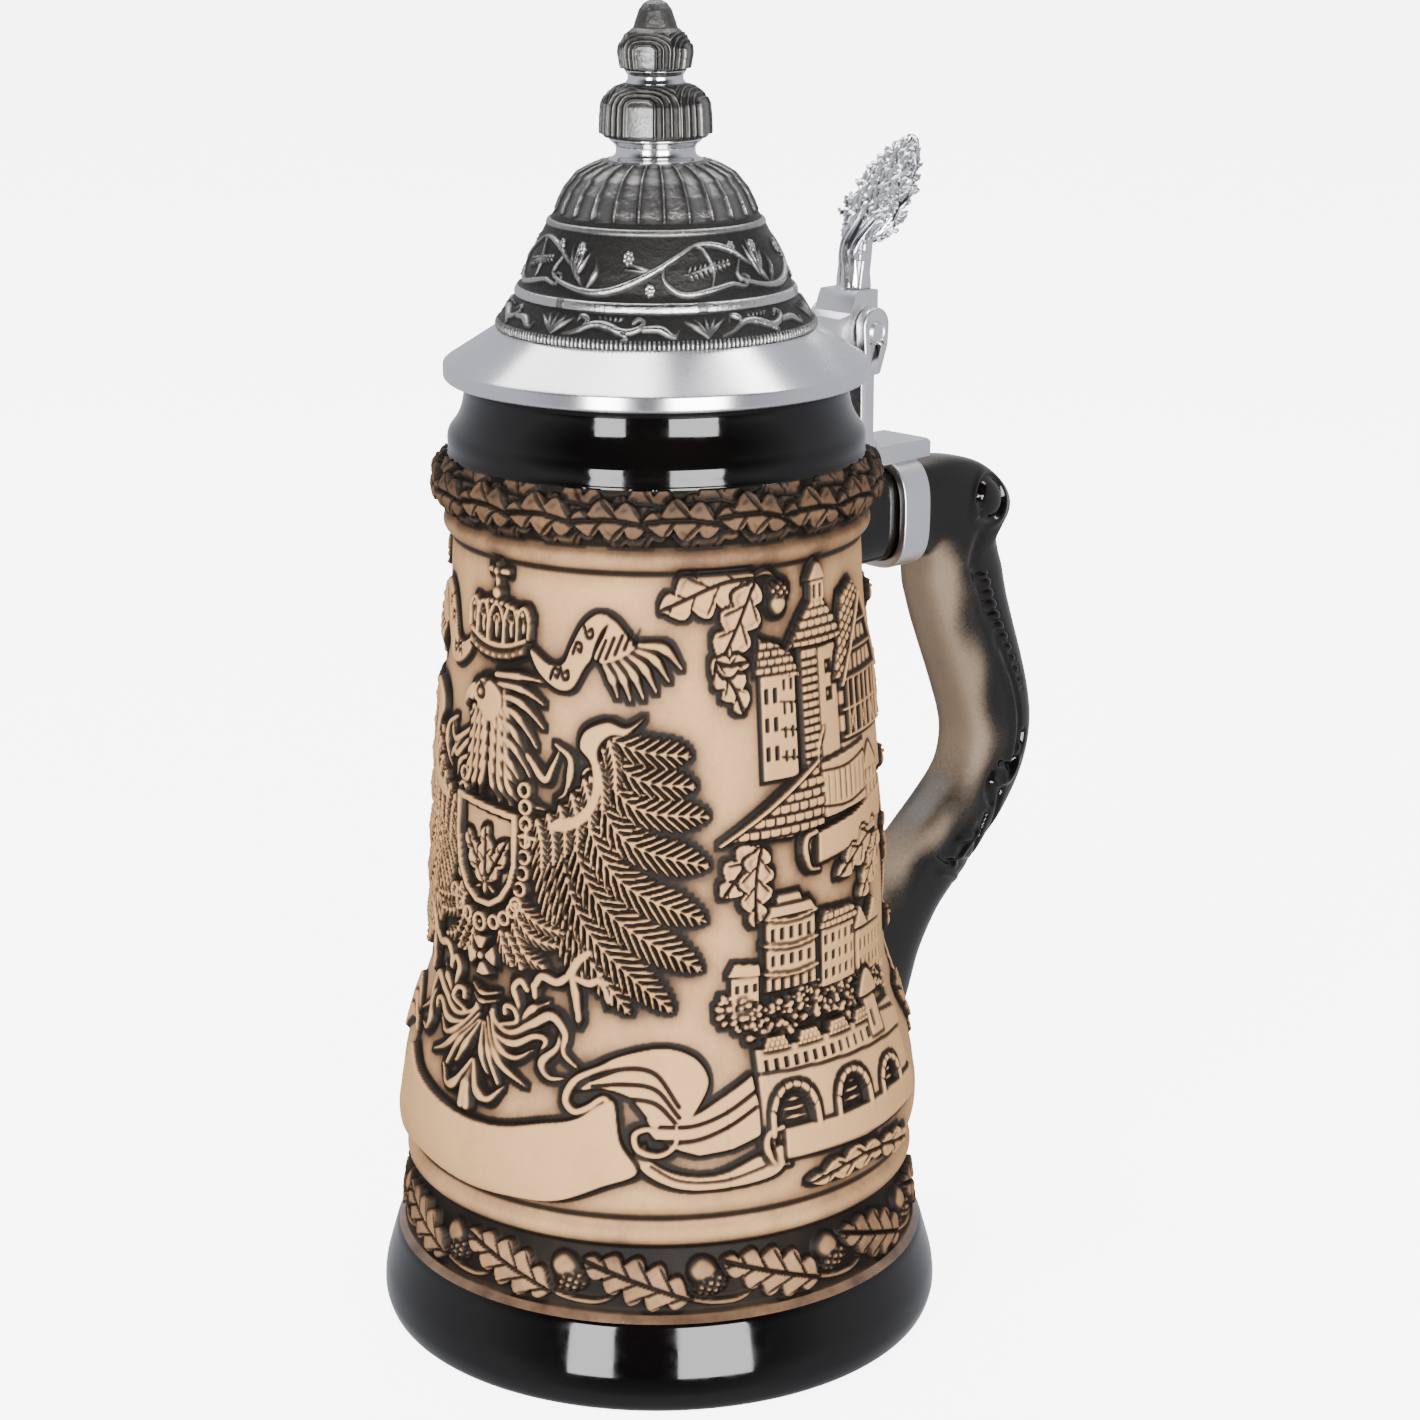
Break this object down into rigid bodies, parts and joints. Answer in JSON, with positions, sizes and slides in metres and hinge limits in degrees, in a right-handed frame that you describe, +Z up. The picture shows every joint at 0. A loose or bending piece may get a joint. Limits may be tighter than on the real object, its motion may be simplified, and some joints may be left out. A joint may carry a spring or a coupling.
{
  "type": "beer stein",
  "caption": "Tall relief stoneware stein with glazed foot and neck, scroll handle and a hinged pewter lid with relief dome, finial and leafy thumb lift.",
  "frame": {"origin": "centre of the flat underside of the foot, on the vessel's axis", "axes": "+Z up along the vessel's axis, +X from the axis towards the handle, +Y along the hinge pin"},
  "size_m": [0.1583, 0.107, 0.2481],
  "materials": {
    "stoneware": "matte",
    "black_glaze": "gloss",
    "pewter_satin": "satin",
    "pewter_polished": "polished",
    "pewter_antique": "satin"
  },
  "bodies": {
    "stein": {"stoneware_body": "stoneware", "handle": "black_glaze", "handle_band": "pewter_satin", "shank": "pewter_satin", "hinge_pin": "pewter_satin"},
    "lid": {"hinge_block": "pewter_satin", "thumb_lift": "pewter_satin", "lid_flange": "pewter_polished", "lid_dome": "pewter_antique", "lid_cap": "pewter_antique", "finial_neck_low": "pewter_polished", "finial_knob_low": "pewter_antique", "finial_neck_top": "pewter_polished", "finial_knob_top": "pewter_antique", "finial_screw": "pewter_satin"}
  },
  "joints": [
    {"name": "lid_hinge", "type": "hinge", "parent": "stein", "child": "lid", "pos_m": [0.0515, 0, 0.184], "axis": [0, 1, 0], "range_deg": [0, 95]}
  ]
}
